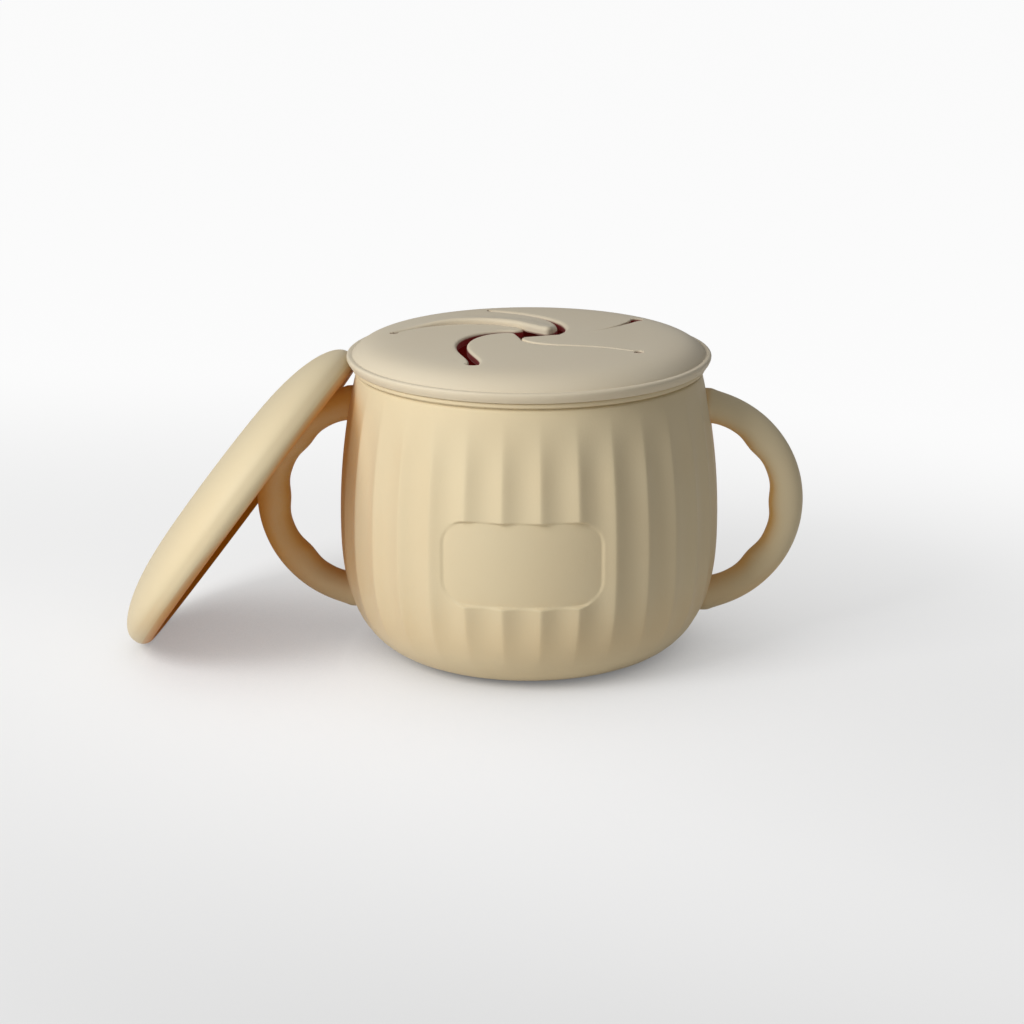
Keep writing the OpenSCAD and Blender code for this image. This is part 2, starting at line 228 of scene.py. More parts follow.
def make_cup():
    """The cup's outer wall, bead, lip, bowl and floor: one profile turned about Z, whose outer
    wall is pushed in by the flutes and the badge."""
    flute_stops = np.array([-6, -5.75, -5.4, -4.8, -3.9, -2.6, -0.9, 0.9, 2.6, 3.9, 4.8, 5.4, 5.75])
    angles = (np.arange(FLUTES)[:, None] * 360 / FLUTES + flute_stops).ravel()
    angles = (angles + 180) % 360 - 180
    corners = np.concatenate([np.arange(17.2, 27.2, 0.4), -np.arange(17.2, 27.2, 0.4)])
    angles = np.sort(np.concatenate([angles, corners]))
    angles = angles[np.concatenate([[True], np.diff(angles) > 0.12])]
    turn = np.radians(90 * np.sin(np.radians(np.linspace(4, 66, 18))))
    foot_z = BELLY_Z * (1 - np.cos(turn) ** (2 / FOOT_POWER))
    foot_z = foot_z[(foot_z > 0.02) & (foot_z < 12)]
    low, high = BADGE_Z - BADGE_H / 2, BADGE_Z + BADGE_H / 2
    wall_z = np.concatenate([foot_z, spread((12.0, 0.9), (low - 1, 0.22), (low + 1, 0.4),
        (low + BADGE_ROUND, 0.9), (high - BADGE_ROUND, 0.4), (high - 1, 0.22), (high + 1, 0.9),
        (NECK_Z - 0.35, 0.35))])
    wall = np.stack([cup_outer(wall_z), wall_z], 1)
    rim = rows_of(
        arc((NECK_R + 0.4, NECK_Z - 0.42), 0.38, 180, 90, 5), (BEAD_R - 0.32, NECK_Z - 0.02),
        arc((BEAD_R - 0.28, NECK_Z + 0.28), 0.28, -70, 0, 4),
        arc((BEAD_R - 0.2, BEAD_Z - 0.22), 0.2, 0, 90, 4), (LIP_R, BEAD_Z), (LIP_R, LIP_Z - 0.5),
        arc((LIP_R - 0.5, LIP_Z - 0.5), 0.5, 20, 90, 4),
        arc((MOUTH_R + 0.5, LIP_Z - 0.5), 0.5, 90, 180, 5))
    t = np.linspace(88, 3, 18)
    bowl_low = CUP_FLOOR + (BELLY_Z - CUP_FLOOR) * (1 - np.cos(np.radians(t)) ** (2 / FOOT_POWER))
    bowl_z = np.concatenate([np.linspace(NECK_Z, BELLY_Z, 12)[:-1], bowl_low])
    bowl = np.stack([cup_inner(bowl_z), bowl_z], 1)
    floor = [(FOOT_R - CUP_WALL, CUP_FLOOR), (11.0, CUP_FLOOR)]
    foot = [(12.0, 0.0), (FOOT_R - 0.6, 0.0), (FOOT_R + 0.1, 0.0)]
    profile = rows_of(foot, wall, rim, bowl, floor)
    outer_rows = np.zeros(len(profile), bool)
    outer_rows[len(foot):len(foot) + len(wall)] = True
    z = profile[:, 1][:, None]
    r = profile[:, 0][:, None] + 0 * angles
    x_plain = r * np.sin(np.radians(angles))
    front = np.abs(angles)[None, :] < 60
    cut = badge_depth(x_plain, z + 0 * angles, front & outer_rows[:, None])
    pushed = (r - flute(angles[None, :], z)) * (1 - cut) + (r - BADGE_DEPTH) * cut
    r = np.where(outer_rows[:, None], pushed, r)
    a = np.radians(angles)
    grid = np.stack([r * np.sin(a), -r * np.cos(a), z + 0 * a], -1)
    rows, columns = r.shape
    points = np.concatenate([grid.reshape(-1, 3), [(0, 0, 0), (0, 0, CUP_FLOOR)]])
    ring = np.arange(columns)
    faces = [*tube_faces(rows, columns), *fan(rows * columns, ring, False),
             *fan(rows * columns + 1, (rows - 1) * columns + ring, True)]
    inner = np.zeros(rows * columns + 2)
    inner[(len(profile) - len(bowl) - len(floor)) * columns:rows * columns] = 1
    inner[-1] = 1
    return mark(mesh_piece("fluted_cup", points, faces), inner)


def handle_wave(a):
    """How far the grip's inner side stands in: three finger bumps as a power of a cosine, then
    a smooth flare towards each root."""
    bumps = BUMP_IN * np.cos(np.radians(180 * a / BUMP_PITCH)) ** BUMP_POWER
    flare = ROOT_FLARE * smooth(np.abs(a), 1.5 * BUMP_PITCH, 100)
    return np.where(np.abs(a) < 1.5 * BUMP_PITCH, bumps, flare)


def make_handle(name, side):
    """A tube carried round the grip's centre. Its inner side stands in by the wave, and its
    section swells into a small fillet where it meets the cup's wall."""
    a = np.linspace(-HANDLE_END, HANDLE_END, 181)[:, None]
    turn = np.linspace(0, 2 * np.pi, 40, endpoint=False)[None, :]
    deep = HANDLE_TUBE + handle_wave(a) / 2
    middle = HANDLE_R + HANDLE_TUBE - deep
    centre_x = HANDLE_X + middle * np.cos(np.radians(a))
    centre_z = HANDLE_Z + middle * np.sin(np.radians(a))
    away = centre_x - cup_outer(centre_z)
    fillet = FILLET * np.exp(-np.maximum(away, 0)) * smooth(away, -3.0, 0.0)
    r = middle + (deep + fillet) * np.cos(turn)
    x = HANDLE_X + r * np.cos(np.radians(a))
    y = (HANDLE_TUBE + fillet) * np.sin(turn) + 0 * a
    z = HANDLE_Z + r * np.sin(np.radians(a))
    inside = cup_outer(z) - 1.2
    x = np.maximum(x, np.sqrt(np.maximum(inside ** 2 - y ** 2, 0)))
    grid = np.stack([side * x, side * y, z], -1)
    rows, columns = x.shape
    points = np.concatenate([grid.reshape(-1, 3), grid[0].mean(0)[None], grid[-1].mean(0)[None]])
    ring = np.arange(columns)
    faces = [*tube_faces(rows, columns), *fan(rows * columns, ring, False),
             *fan(rows * columns + 1, (rows - 1) * columns + ring, True)]
    return mesh_piece(name, points, faces)


# ---------------------------------------------------------------- snack lid
def crown(r):
    """Height of the lid's top: flat in the middle, falling by a high power of the radius."""
    return LEDGE_Z + CROWN_RISE * (1 - (r / CROWN_R) ** CROWN_POWER)


def crown_normal(r, angle):
    """The top's own normal at a radius and an angle in radians, from the slope of the crown."""
    slope = CROWN_RISE * CROWN_POWER / CROWN_R * (r / CROWN_R) ** (CROWN_POWER - 1)
    length = np.sqrt(1 + slope ** 2)
    return np.stack([slope * np.cos(angle), slope * np.sin(angle), np.ones_like(slope)], -1) / \
        length[..., None]


def make_lid_rim():
    """The lid outside the flaps: crown, crease, flange, groove for the lip and plug, one
    closed profile turned about Z."""
    top_r = spread((JOIN_R, 0.2), (36.0, 0.45), (CROWN_R - 1.2, 0.25), (CROWN_R - 0.1, 0.1))
    top = np.stack([top_r, crown(top_r)], 1)
    profile = rows_of(
        top, (CROWN_R + 0.02, LEDGE_Z - 0.12), arc((CROWN_R + 0.22, LEDGE_Z - 0.02), 0.16, 215, 325, 4),
        arc((FLANGE_R - 0.6, LEDGE_Z - 0.65), 0.6, 95, 8, 7),
        (FLANGE_R - 0.04, LEDGE_Z - 1.0), (FLANGE_R - 0.35, LEDGE_Z - 1.7),
        arc((FLANGE_R - 1.2, BEAD_Z + 0.55), 0.45, -15, -85, 4), (LIP_R + 0.35, BEAD_Z + 0.1),
        (LIP_R + 0.3, BEAD_Z + 0.3), (LIP_R + 0.3, GROOVE_Z), (PLUG_R, GROOVE_Z),
        (PLUG_R, PLUG_Z + 0.5), arc((PLUG_R - 0.5, PLUG_Z + 0.5), 0.5, -20, -90, 4),
        arc((PLUG_R - PLUG_WALL + 0.4, PLUG_Z + 0.4), 0.4, -90, -180, 4),
        (PLUG_R - PLUG_WALL, PLATE_Z - 0.6),
        arc((PLUG_R - PLUG_WALL - 0.3, PLATE_Z - 0.3), 0.3, 0, 90, 4),
        (JOIN_R, PLATE_Z))
    columns = 320
    a = np.linspace(0, 2 * np.pi, columns, endpoint=False)
    rows = len(profile)
    r, z = profile[:, :1], profile[:, 1:]
    points = np.stack([r * np.cos(a), r * np.sin(a), z + 0 * a], -1).reshape(-1, 3)
    faces = tube_faces(rows, columns, closed_rows=True)[:, ::-1]
    flat = np.arange(len(faces)) >= (rows - 1) * columns
    normals = np.full((rows, columns, 3), np.nan)
    normals[0] = crown_normal(np.full(columns, JOIN_R), a)
    normals[-1] = (0, 0, -1)
    return mesh_piece("lid_rim", points, faces, normals.reshape(-1, 3), flat)


def slit_angle(k, r):
    """Direction of slit k at a radius: from its end it curls back by a power of the depth."""
    depth = np.maximum(1 - r / SLIT_R[k], 0)
    return np.radians(SLIT_TURN[k] - SLIT_TWIST[k] * depth ** SLIT_CURL[k])


def slit_edge(k, r, side):
    """Points of one edge of slit k: its middle line moved sideways by half its width, which
    opens into a round hole at its end and is nothing beyond it."""
    hole = np.sqrt(np.maximum(SLIT_END_R[k] ** 2 - (r - SLIT_R[k]) ** 2, 0))
    part = np.clip(r / SLIT_R[k], 0, 1) ** SLIT_GAP_POWER[k]
    half = (SLIT_GAP_IN[k] * (1 - part) + SLIT_GAP_END[k] * part) / 2
    half = np.where(r < SLIT_R[k], np.maximum(hole, half), hole)
    here, on = slit_angle(k, r), slit_angle(k, r + 0.05)
    p = np.stack([r * np.cos(here), r * np.sin(here)], -1)
    way = np.stack([(r + 0.05) * np.cos(on), (r + 0.05) * np.sin(on)], -1) - p
    way /= np.linalg.norm(way, axis=-1, keepdims=True)
    return p + side * half[:, None] * np.stack([-way[:, 1], way[:, 0]], -1)


def slit_chain(k, side):
    """One edge of slit k from the join circle to the opening between the flaps' tips."""
    hole_out, hole_in = SLIT_R[k] + SLIT_END_R[k], SLIT_R[k] - SLIT_END_R[k] - 0.3
    r = np.concatenate([np.linspace(JOIN_R, hole_out, 5)[:-1],
                        np.linspace(hole_out, hole_in, 32)[:-1],
                        np.linspace(hole_in, SLIT_IN[k], 64)])
    return slit_edge(k, r, side)


def rounded_corner(before, corner, after):
    """A quadratic curve that rounds a corner between two points beside it."""
    t = np.linspace(0, 1, 9)[:, None]
    return (1 - t) ** 2 * before + 2 * t * (1 - t) * corner + t ** 2 * after


def flap_outline(k):
    """Flap k's outline: in along its first slit, across its tip and out along its next slit,
    with the tip's two corners rounded."""
    left, right = slit_chain(k, 1), slit_chain((k + 1) % 5, -1)
    a, b = left[-1], right[-1]
    across = (b - a) / np.linalg.norm(b - a)
    size = min(TIP_CORNER, 0.45 * np.linalg.norm(b - a))

    def shorten(chain):
        away = np.linalg.norm(chain - chain[-1], axis=1)
        last = np.nonzero(away > size)[0][-1]
        rest = np.linspace(0, last, len(chain))
        return np.stack([np.interp(rest, np.arange(len(chain)), chain[:, i]) for i in (0, 1)], 1)
    left, right = shorten(left), shorten(right)
    tip_start, tip_end = a + across * size, b - across * size
    edge = tip_start + np.linspace(0, 1, 9)[1:-1, None] * (tip_end - tip_start)
    return np.concatenate([left[:-1], rounded_corner(left[-1], a, tip_start), edge,
                           rounded_corner(tip_end, b, right[-1]), right[::-1][1:]])


def polar_rows(left, right, count):
    """Rows of points between two chains, with the angle and the radius in even steps."""
    ra, rb = np.linalg.norm(left, axis=1), np.linalg.norm(right, axis=1)
    aa, ab = np.arctan2(left[:, 1], left[:, 0]), np.arctan2(right[:, 1], right[:, 0])
    ab = aa + (ab - aa + np.pi) % (2 * np.pi) - np.pi
    t = np.linspace(0, 1, count)[None, :]
    r = ra[:, None] * (1 - t) + rb[:, None] * t
    a = aa[:, None] * (1 - t) + ab[:, None] * t
    return np.stack([r * np.cos(a), r * np.sin(a)], -1)


def bend_line(k):
    """Flap k's bending line, just inside the line between its two slits' ends: the direction
    square to it, away from the middle, and its distance from the middle."""
    a, b = (np.array([SLIT_R[i] * math.cos(math.radians(SLIT_TURN[i])),
                      SLIT_R[i] * math.sin(math.radians(SLIT_TURN[i]))]) for i in (k, (k + 1) % 5))
    way = (b - a) / np.linalg.norm(b - a)
    out = np.array([way[1], -way[0], 0.0])
    return out, float(a @ out[:2]) - LID_T / 2 - BEND_CLEAR


def bend_rest(points, k):
    """Lifts flap k to its rest angle: points turn about the bending line by that angle times
    a smooth step from just outside the line to just inside it."""
    out, hinge = bend_line(k)
    along = points @ out
    angle = np.radians(FLAP_LIFT[k]) * (1 - smooth(along, hinge - BEND_HALF, hinge + BEND_HALF))
    x, z = along - hinge, points[:, 2] - (PLATE_Z + LID_T / 2)
    new_x = x * np.cos(angle) + z * np.sin(angle)
    new_z = -x * np.sin(angle) + z * np.cos(angle)
    return points + (new_x - x)[:, None] * out + (new_z - z)[:, None] * np.array([0, 0, 1.0])


def in_order(points, count=60):
    """Keeps the outer points of a chain in order: none lies further out than the one before."""
    outer, slip = np.linalg.norm(points[:count], axis=1), 0.002 * np.arange(count)
    kept = np.minimum.accumulate(outer + slip) - slip
    return np.concatenate([points[:count] * (kept / outer)[:, None], points[count:]])


def make_flap(k):
    """One flap from the join circle to its tip: its outline, offset inwards in steps for its
    rounded edges, and filled by rows."""
    outline = flap_outline(k)
    along = np.gradient(outline, axis=0)
    along[0], along[-1] = along[1], along[-2]
    along /= np.linalg.norm(along, axis=1, keepdims=True)
    inward = np.stack([along[:, 1], -along[:, 0]], -1)
    count = len(outline)
    half = count // 2
    # Beyond the slits' ends, the edge is only a join and gets no rounding
    first, second = (SLIT_R[i] + SLIT_END_R[i] for i in (k, (k + 1) % 5))
    ends = np.where(np.arange(count) < half, first, second)
    open_edge = smooth(ends - np.linalg.norm(outline, axis=1), 0.0, ROUND_FADE)
    steps = np.radians([90, 68, 46, 24, 0])

    turn = smooth(np.arange(count), half - 20, half + 20)
    top_round = TOP_ROUND[k] * (1 - turn) + TOP_ROUND[(k + 1) % 5] * turn

    def surface(radius):
        rings = []
        for s in steps:
            inset = radius * (1 - math.sin(s)) * open_edge
            drop = radius * (1 - math.cos(s)) * open_edge
            xy = in_order(outline + inset[:, None] * inward)
            xy = in_order(xy[::-1])[::-1]
            rings.append(np.column_stack([xy, np.zeros(count), drop]))
        inner = rings[-1]
        a, b = inner[:half + 1], inner[half:][::-1]
        fill = polar_rows(a[:, :2], b[:, :2], 34)[:, 1:-1]
        return rings, fill
    top_rings, top_fill = surface(top_round)
    low_rings, low_fill = surface(LOW_ROUND)

    def lay(rings, fill, low):
        left_side = np.stack([g[:half + 1] for g in rings], 1)
        right_side = np.stack([g[half:][::-1] for g in rings[::-1]], 1)
        filled = np.concatenate([fill, np.zeros(fill.shape[:2] + (2,))], -1)
        grid = np.concatenate([left_side, filled, right_side], 1)
        rr = np.linalg.norm(grid[..., :2], axis=-1)
        z = (PLATE_Z + grid[..., 3]) if low else (crown(rr) - grid[..., 3])
        return np.concatenate([grid[..., :2], z[..., None]], -1), rr
    top, top_r = lay(top_rings, top_fill, False)
    low, low_r = lay(low_rings, low_fill, True)
    # A curled flap stands up along its second slit by up to the curl, beyond what the lift gives
    # it, and lies lower along its first slit
    if EDGE_CURL[k]:
        out, hinge = bend_line(k)
        over = np.linspace(0, 1, top.shape[1])
        for face, radius in ((top, top_r), (low, low_r)):
            stands = EDGE_CURL[k] * smooth(SLIT_R[(k + 1) % 5] - radius, 0.5, 10)
            lifted = math.sin(math.radians(FLAP_LIFT[k])) * np.maximum(hinge - face @ out, 0)
            face[..., 2] += (np.maximum(stands - lifted, 0) * smooth(over, 0.35, 1.0)
                             - 0.8 * lifted * (1 - smooth(over, 0.0, 0.65)) * smooth(radius, 7, 13))
    rows, columns = top.shape[:2]
    size = rows * columns
    points = np.concatenate([top.reshape(-1, 3), low.reshape(-1, 3)])
    i, j = np.arange(rows - 1)[:, None], np.arange(columns - 1)[None, :]
    quad = np.stack(np.broadcast_arrays(i * columns + j, (i + 1) * columns + j,
        (i + 1) * columns + j + 1, i * columns + j + 1), -1).reshape(-1, 4)
    edge = np.concatenate([np.arange(rows) * columns, (np.arange(rows) * columns + columns - 1)[::-1]])
    wall = np.stack([edge[:-1], edge[:-1] + size, edge[1:] + size, edge[1:]], 1)
    join = np.stack([np.arange(columns - 1), np.arange(1, columns),
                     np.arange(1, columns) + size, np.arange(columns - 1) + size], 1)
    # The last row folds onto itself at the middle of the tip, so its two halves are one
    fold = np.minimum(np.arange(columns), np.arange(columns)[::-1])
    same = np.arange(2 * size)
    same[size - columns:size] = size - columns + np.minimum(fold, len(steps) - 1)
    same[-columns:] = same[size - columns:size] + size
    quads = same[np.concatenate([quad[:, ::-1], quad + size, wall[:, ::-1]])]
    repeats = quads == np.roll(quads, -1, axis=1)
    whole, three = repeats.sum(1) == 0, repeats.sum(1) == 1
    triangles = quads[three][~repeats[three]].reshape(-1, 3)
    used = np.zeros(2 * size, bool)
    used[same] = True
    number = np.cumsum(used) - 1
    faces = [*number[quads[whole]], *number[triangles], *number[join[:, ::-1]]]
    flat = np.arange(len(faces)) >= len(faces) - len(join)
    open_down = (1 - np.cos(steps[::-1]))[::-1]
    radius = np.concatenate([top_r.ravel(), low_r.ravel()])
    angle = np.arctan2(points[:, 1], points[:, 0])
    normals = np.full((2 * size, 3), np.nan)
    seam = radius > JOIN_R - 0.05
    up = np.arange(2 * size) < size
    normals[seam & up] = crown_normal(radius, angle)[seam & up]
    normals[seam & ~up] = (0, 0, -1)
    inside = np.tile(np.concatenate([
        open_down, np.zeros(columns - 2 * len(steps)), open_down[::-1]]), rows)
    depth = np.concatenate([inside, inside])[used]
    return bend_rest(points, k)[used], faces, normals[used], flat, depth


def make_flap_piece(k):
    """Flap k's piece, and the two points between which it passes from the lid to the flap."""
    points, faces, normals, flat, depth = make_flap(k)
    piece = mark(mesh_piece(FLAPS[k] + "_skin", points, faces, normals, flat), depth)
    out, hinge = bend_line(k)
    out = Vector(out) * MM
    level = Vector((0, 0, (PLATE_Z + LID_T / 2) * MM))
    return piece, out * (hinge + BEND_HALF) + level, out * (hinge - BEND_HALF) + level


# ---------------------------------------------------------------- dust cover
def make_cover():
    """The dust cover: flat top, elliptical shoulder, straight side and thick rounded edge, turned
    about its own axis, then leant on the lid's flange with its edge on the table."""
    def shell(radius, height, side, count):
        t = np.radians(np.linspace(90, 0, count))[:, None]
        r = radius - COVER_SHOULDER * (1 - np.cos(t))
        z = side + (height - side) * np.sin(t)
        return np.concatenate([r, z], 1)
    low = COVER_H - COVER_TOP
    outer = shell(COVER_R, COVER_H, COVER_SIDE, 36)
    inner = shell(COVER_R - COVER_WALL, low, COVER_SIDE - COVER_WALL + COVER_TOP, 28)
    edge = rows_of(arc((COVER_R - COVER_WALL + 0.5, 0.5), 0.5, 180, 250, 5),
                   arc((COVER_R - COVER_EDGE, COVER_EDGE), COVER_EDGE, 274, 360, 14))
    profile = rows_of([(8.0, low), (13.0, low)], inner, edge, outer[::-1],
                      [(13.0, COVER_H), (8.0, COVER_H)])
    columns = 360
    a = np.linspace(0, 2 * np.pi, columns, endpoint=False)
    r, z = profile[:, :1], profile[:, 1:]
    grid = np.stack([r * np.cos(a), r * np.sin(a), z + 0 * a], -1)
    rows = len(profile)
    points = np.concatenate([grid.reshape(-1, 3), [(0, 0, low), (0, 0, COVER_H)]])
    ring = np.arange(columns)
    faces = [*tube_faces(rows, columns), *fan(rows * columns, ring, False),
             *fan(rows * columns + 1, (rows - 1) * columns + ring, True)]
    lean = math.asin((BEAD_Z + COVER_TOUCH - COVER_EDGE) / (2 * COVER_R - COVER_EDGE))
    yaw = math.radians(COVER_YAW)
    reach = (math.hypot(COVER_R * math.cos(lean) * math.cos(yaw), COVER_R * math.sin(yaw))
             - COVER_EDGE * math.sin(lean) * math.cos(yaw))
    level = (COVER_R - COVER_EDGE) * math.sin(lean) - COVER_EDGE * math.cos(lean) + COVER_EDGE
    place = (Matrix.Translation((-(FLANGE_R - FLANGE_DRAFT + COVER_GAP + reach), 0, level))
             @ Matrix.Rotation(-yaw, 4, "Z") @ Matrix.Rotation(-lean, 4, "Y"))
    place = np.array(place)
    points = points @ place[:3, :3].T + place[:3, 3]
    inner_side = np.zeros(len(points))
    # The inner side, which gets the painted amber shade, runs out over the first part of the edge's
    # outer arc
    starts = (2 + len(inner) + 5) * columns
    inner_side[:starts] = 1
    inner_side[starts:starts + 10 * columns] = np.repeat(np.linspace(1, 0, 10) ** 0.5, columns)
    inner_side[-2] = 1
    return mark(mesh_piece("domed_cover", points, faces), inner_side)


# ---------------------------------------------------------------- materials
class Value:
    """A node socket with arithmetic: an expression on values adds its Math nodes."""

    def __init__(self, maker, socket):
        self.maker, self.socket = maker, socket

    def _math(self, operation, *inputs):
        return self.maker.node("ShaderNodeMath", {"operation": operation},
                               dict(enumerate(inputs)))

    def __add__(self, other):
        return self._math("ADD", self, other)

    def __rsub__(self, other):
        return self._math("SUBTRACT", other, self)

    def __mul__(self, other):
        return self._math("MULTIPLY", self, other)

    def __pow__(self, other):
        return self._math("POWER", self, other)

    __radd__, __rmul__ = __add__, __mul__


class Maker:
    """Builds one material's nodes."""

    def __init__(self, name):
        self.material = bpy.data.materials.new(name)
        self.material.use_nodes = True
        self.tree = self.material.node_tree
        self.tree.nodes.clear()

    def node(self, kind, settings=None, inputs=None, output=0):
        node = self.tree.nodes.new(kind)
        for key, value in (settings or {}).items():
            setattr(node, key, value)
        for key, value in (inputs or {}).items():
            if isinstance(value, Value):
                self.tree.links.new(value.socket, node.inputs[key])
            else:
                node.inputs[key].default_value = value
        return Value(self, node.outputs[output]) if node.outputs else None

    def step(self, value, low, high):
        """A smooth step of a value: 0 below the low edge and 1 above the high one."""
        return self.node("ShaderNodeMapRange", {"interpolation_type": "SMOOTHSTEP"},
                         {"Value": value, "From Min": low, "From Max": high})

    def mix(self, factor, a, b):
        """A colour mix: a where the factor is 0, b where it is 1."""
        return self.node("ShaderNodeMix", {"data_type": "RGBA"}, {0: factor, 6: a, 7: b}, 2)

    def larger(self, a, b):
        """The larger of two values."""
        return self.node("ShaderNodeMath", {"operation": "MAXIMUM"}, {0: a, 1: b})

    def noise(self, place, scale, detail, roughness):
        """Soft noise around 0.5."""
        return self.node("ShaderNodeTexNoise", None, {
            "Vector": place, "Scale": scale, "Detail": detail, "Roughness": roughness})

    def closed(self, reach, samples):
        """How much of the view from a point is closed within a reach in metres, 0 to 1."""
        return 1 - self.node("ShaderNodeAmbientOcclusion", {"samples": samples}, {"Distance": reach}, 1)


def srgb(r, g, b):
    """An sRGB colour of 0 to 255 as the linear colour that a socket takes."""
    c = np.array([r, g, b]) / 255
    c = np.where(c <= 0.04045, c / 12.92, ((c + 0.055) / 1.055) ** 2.4)
    return (*c.tolist(), 1.0)


def silicone(name, light, mottle_and_painted_shade, painted_shade_span, deep, painted_inner_glow, closed_off=None):
    """Matte moulded silicone: a soft mottle in the colour, painted warm shade in the base colour and a
    painted glow in the emission where another piece closes it in between the table and the rim,
    painted shade in a deeper colour and a faint painted glow inside, and fine tooth from the mould.
    The painted shade span gives the share closed at which the painted warm shade starts and is
    full. Deep is the colour of the painted shade inside. Inside is where the depth attribute is, if
    the point is closed off (reach, start, full), or below the top."""
    m = Maker(name)
    place = m.node("ShaderNodeTexCoord", output=3)
    height = m.node("ShaderNodeSeparateXYZ", None, {0: place}, 2)
    mottle = m.noise(place, 55.0, 3.0, 0.55)
    tooth = m.noise(place, 1500.0, 2.0, 0.6)
    ripple = m.noise(place, 140.0, 1.0, 0.4)
    # Painted warm shade: between the table and the rim, where another piece closes this one in, the
    # base colour turns to the warm tint
    between = m.step(height, *PAINTED_SHADE_FOOT) * (1 - m.step(height, *PAINTED_SHADE_RIM))
    painted_warm_shade = m.step(m.closed(NEAR_REACH, 6), *painted_shade_span) * between
    # Painted shade inside: the depth attribute, where closed off or below the top, turns the colour
    # deep and adds a faint painted glow
    down = m.node("ShaderNodeAttribute", {"attribute_name": DEPTH}, None, 2)
    if closed_off:
        inside = down * m.step(m.closed(closed_off[0], 16), *closed_off[1:])
    else:
        inside = down * (1 - m.step(height, (CROWN_Z - 0.8) * MM, (CROWN_Z - 0.3) * MM))
    colour = m.mix(0.12 * mottle, m.mix(painted_warm_shade, light, mottle_and_painted_shade), mottle_and_painted_shade)
    colour = m.mix(inside, colour, deep)
    bump = m.node("ShaderNodeBump", None, {"Strength": 0.10, "Distance": 0.00025,
        "Height": 0.75 * tooth + 0.25 * ripple})
    # The emission is painted glow: warm where pieces close each other in, faint and deep inside
    shader = m.node("ShaderNodeBsdfPrincipled", None, {"Base Color": colour,
        "Roughness": 0.56 + 0.08 * tooth, "Normal": bump, "IOR": 1.41, "Specular IOR Level": 0.4,
        "Sheen Weight": 0.12, "Sheen Roughness": 0.5,
        "Emission Color": m.mix(inside, m.mix(painted_warm_shade, BLACK, PAINTED_WARM_GLOW), painted_inner_glow),
        "Emission Strength": 1.0})
    m.node("ShaderNodeOutputMaterial", None, {"Surface": shader})
    return m.material


# ---------------------------------------------------------------- pieces
# The cream is the silicone's own colour; the honey colour is the mottle's tint and also the painted
# warm shade where pieces close each other in
CREAM, PALE_PAINTED_REFLECTION, HONEY_MOTTLE_AND_SHADE = srgb(225, 210, 175), srgb(224, 213, 189), srgb(208, 158, 78)
# Painted shade inside the closed cup, in its slits and on the cover's inner side, as deep colours, and
# painted glows: warm where pieces close in, faint from within
MAROON_PAINTED_SHADE, AMBER_PAINTED_SHADE, BLACK = srgb(84, 10, 6), srgb(190, 118, 14), srgb(0, 0, 0)
PAINTED_WARM_GLOW, PAINTED_RED_GLOW, PAINTED_AMBER_GLOW = srgb(66, 44, 14), srgb(58, 5, 5), srgb(44, 24, 0)
# Heights in metres over which the painted warm shade and glow come in above the table and end below the
# rim
PAINTED_SHADE_FOOT, PAINTED_SHADE_RIM = (0.006, 0.026), (0.062, 0.069)
NEAR_REACH, BOWL_REACH = 0.045, 0.12
cup_finish = silicone("cup_silicone", CREAM, HONEY_MOTTLE_AND_SHADE, (0.36, 0.72), MAROON_PAINTED_SHADE, PAINTED_RED_GLOW,
                      (BOWL_REACH, 0.90, 0.99))
# The lid's colour is the silicone's cream greyed a little, a painted reflection of the white
# surroundings on its top
lid_finish = silicone("lid_silicone", PALE_PAINTED_REFLECTION, HONEY_MOTTLE_AND_SHADE, (0.90, 1.30), MAROON_PAINTED_SHADE, PAINTED_RED_GLOW)
cover_finish = silicone("cover_silicone", CREAM, HONEY_MOTTLE_AND_SHADE, (0.40, 0.75), AMBER_PAINTED_SHADE, PAINTED_AMBER_GLOW,
                        (NEAR_REACH, 0.05, 0.30))


def finish(piece, material):
    """Gives a piece its material."""
    piece.data.materials.append(material)
    return piece


cup = finish(make_cup(), cup_finish)
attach(cup, "cup")
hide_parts("cup_body")
for label, way in (("right", 1), ("left", -1)):
    grip = finish(make_handle(label + "_grip", way), cup_finish)
    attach(grip, "cup")
    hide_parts(label + "_handle")
rim = finish(make_lid_rim(), lid_finish)
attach(rim, "lid")
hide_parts("snack_lid")
for number, flap_name in enumerate(FLAPS):
    flap, start, end = make_flap_piece(number)
    finish(flap, lid_finish)
    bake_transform(flap)
    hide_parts(flap_name)
cover = finish(make_cover(), cover_finish)
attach(cover, "cover")
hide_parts("dust_cover")


# ---------------------------------------------------------------- stage, lamps, camera
def make_stage():
    """A flat floor far wider than the view."""
    corners = [(-4000, -3000, 0), (4000, -3000, 0), (4000, 5000, 0), (-4000, 5000, 0)]
    return mesh_piece("floor", corners, [(0, 1, 2, 3)])


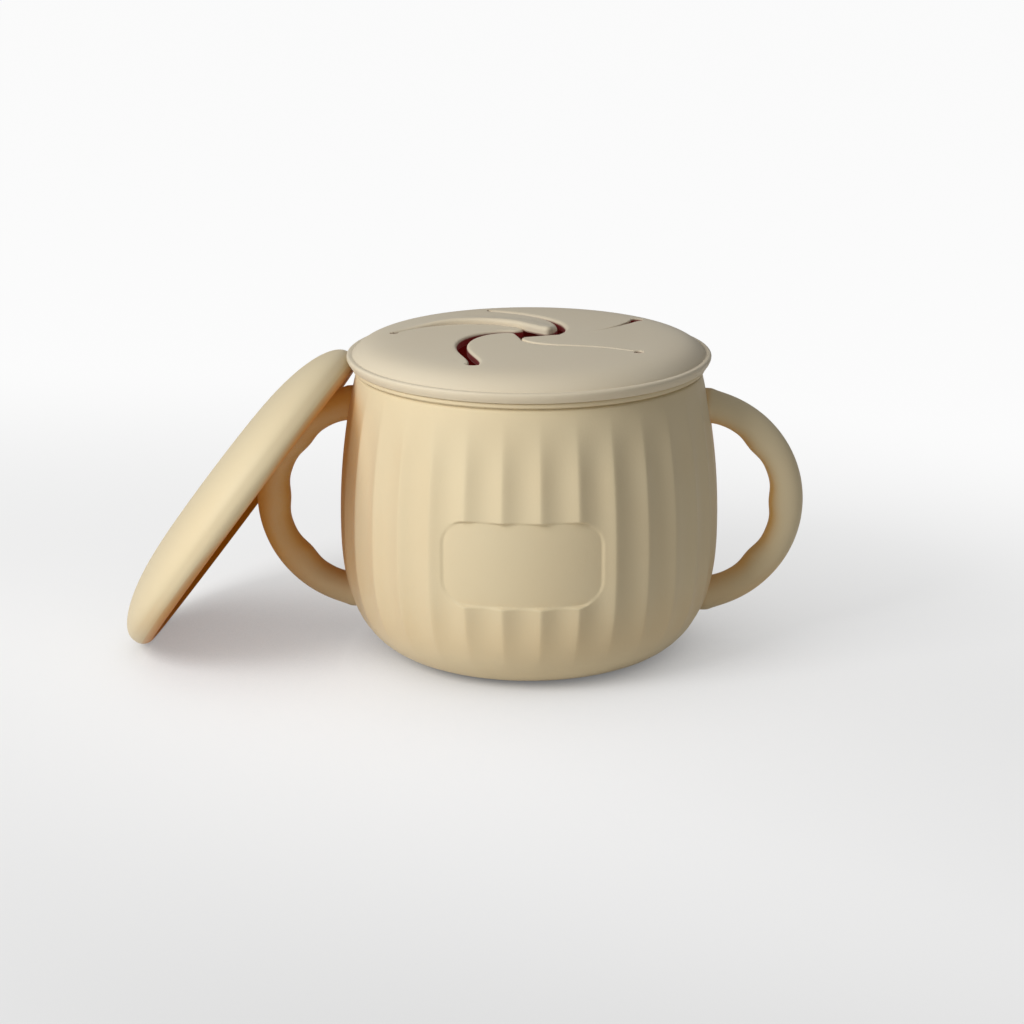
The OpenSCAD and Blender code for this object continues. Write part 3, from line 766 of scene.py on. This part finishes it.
def paper_finish():
    """White paper. The camera and reflections see it half lit, with the shadows, and half as an
    even white tone that takes over far away. The tone is painted greyer near and to the left, a
    painted shade where the key lamp lights the paper most, and painted dark where the paper is
    closed in, a painted contact shadow. Other rays see a plain diffuse white."""
    m = Maker("white_paper")
    seen, glossy, through = (m.node("ShaderNodeLightPath", output=o) for o in (0, 3, 6))
    place = m.node("ShaderNodeTexCoord", output=3)
    across, away = (m.node("ShaderNodeSeparateXYZ", None, {0: place}, o) for o in (0, 1))
    # Painted contact shadow: the white tone darkens where the paper is closed in
    painted_contact_shadow = m.closed(0.05, 8)
    outlying = m.step(m.node("ShaderNodeVectorMath", {"operation": "LENGTH"}, {0: place}, 1),
                      0.22, 0.50)
    far = m.larger(m.step(away + 0.6 * m.larger(across, 0.0), 0.0, 0.30), outlying)
    # Painted shade: the white tone is greyer near and to the left, where the key lamp lights the paper
    # most
    painted_near_shade = (1 - m.step(0.8 * away + 0.6 * across, -0.22, -0.06)) * (1 - outlying)
    tone = m.mix(painted_near_shade, srgb(255, 255, 255), srgb(206, 206, 206))
    tone = m.mix(0.8 * painted_contact_shadow ** 2.0, tone, srgb(40, 40, 44))
    lit = m.node("ShaderNodeBsdfDiffuse", None, {"Color": srgb(250, 250, 250)})
    white = m.node("ShaderNodeEmission", None, {"Color": tone, "Strength": 1.0})
    in_view = m.node("ShaderNodeMixShader", None, {0: 0.55 + 0.4 * far, 1: lit, 2: white})
    plain = m.node("ShaderNodeBsdfDiffuse", None, {"Color": srgb(236, 233, 228)})
    surface = m.node("ShaderNodeMixShader", None, {0: seen + glossy + through, 1: plain, 2: in_view})
    m.node("ShaderNodeOutputMaterial", None, {"Surface": surface})
    return m.material


floor = make_stage()
floor.data.materials.append(paper_finish())

WORLD_LEVEL = 0.23
world = bpy.data.worlds.new("studio")
bpy.context.scene.world = world
world.use_nodes = True
world.node_tree.nodes["Background"].inputs["Color"].default_value = (1, 1, 1, 1)
world.node_tree.nodes["Background"].inputs["Strength"].default_value = WORLD_LEVEL


def lamp(name, place, target, size, power):
    """A square soft white lamp at a place, turned to a target, all in millimetres."""
    data = bpy.data.lights.new(name, "AREA")
    data.shape, data.size, data.energy = "SQUARE", size * MM, power
    thing = bpy.data.objects.new(name, data)
    bpy.context.scene.collection.objects.link(thing)
    turn = (Vector(target) - Vector(place)).to_track_quat("-Z", "Y")
    thing.matrix_world = Matrix.Translation(Vector(place) * MM) @ turn.to_matrix().to_4x4()


lamp("key", (-310, -289, 305), (0, 0, 40), 240, 1.75)
lamp("top", (0, 60, 600), (0, 0, 40), 400, 0.2)

# Camera: place and view direction in the cup's own axes, rolled a little
CAMERA_AT = (21.78, -587.05, 206.44)
CAMERA_YAW, CAMERA_DOWN, CAMERA_ROLL, FOCAL_PX, WIDE_PX = 2.53, 16.45, -0.15, 2500.0, 1024.0
yaw, down, roll = (math.radians(v) for v in (CAMERA_YAW, CAMERA_DOWN, CAMERA_ROLL))
view = Vector((-math.sin(yaw) * math.cos(down), math.cos(yaw) * math.cos(down), -math.sin(down)))
right = Vector((math.cos(yaw), math.sin(yaw), 0))
upward = right.cross(view)
right, upward = (right * math.cos(roll) + upward * math.sin(roll),
                 upward * math.cos(roll) - right * math.sin(roll))
camera_data = bpy.data.cameras.new("camera")
camera_data.sensor_width = 36.0
camera_data.sensor_fit = "HORIZONTAL"
camera_data.lens = 36.0 * FOCAL_PX / WIDE_PX
camera = bpy.data.objects.new("camera", camera_data)
bpy.context.scene.collection.objects.link(camera)
camera.matrix_world = Matrix.Translation(Vector(CAMERA_AT) * MM) @ Matrix(
    (right, upward, -view)).transposed().to_4x4()
bpy.context.scene.camera = camera
bpy.context.scene.view_settings.view_transform = "Standard"
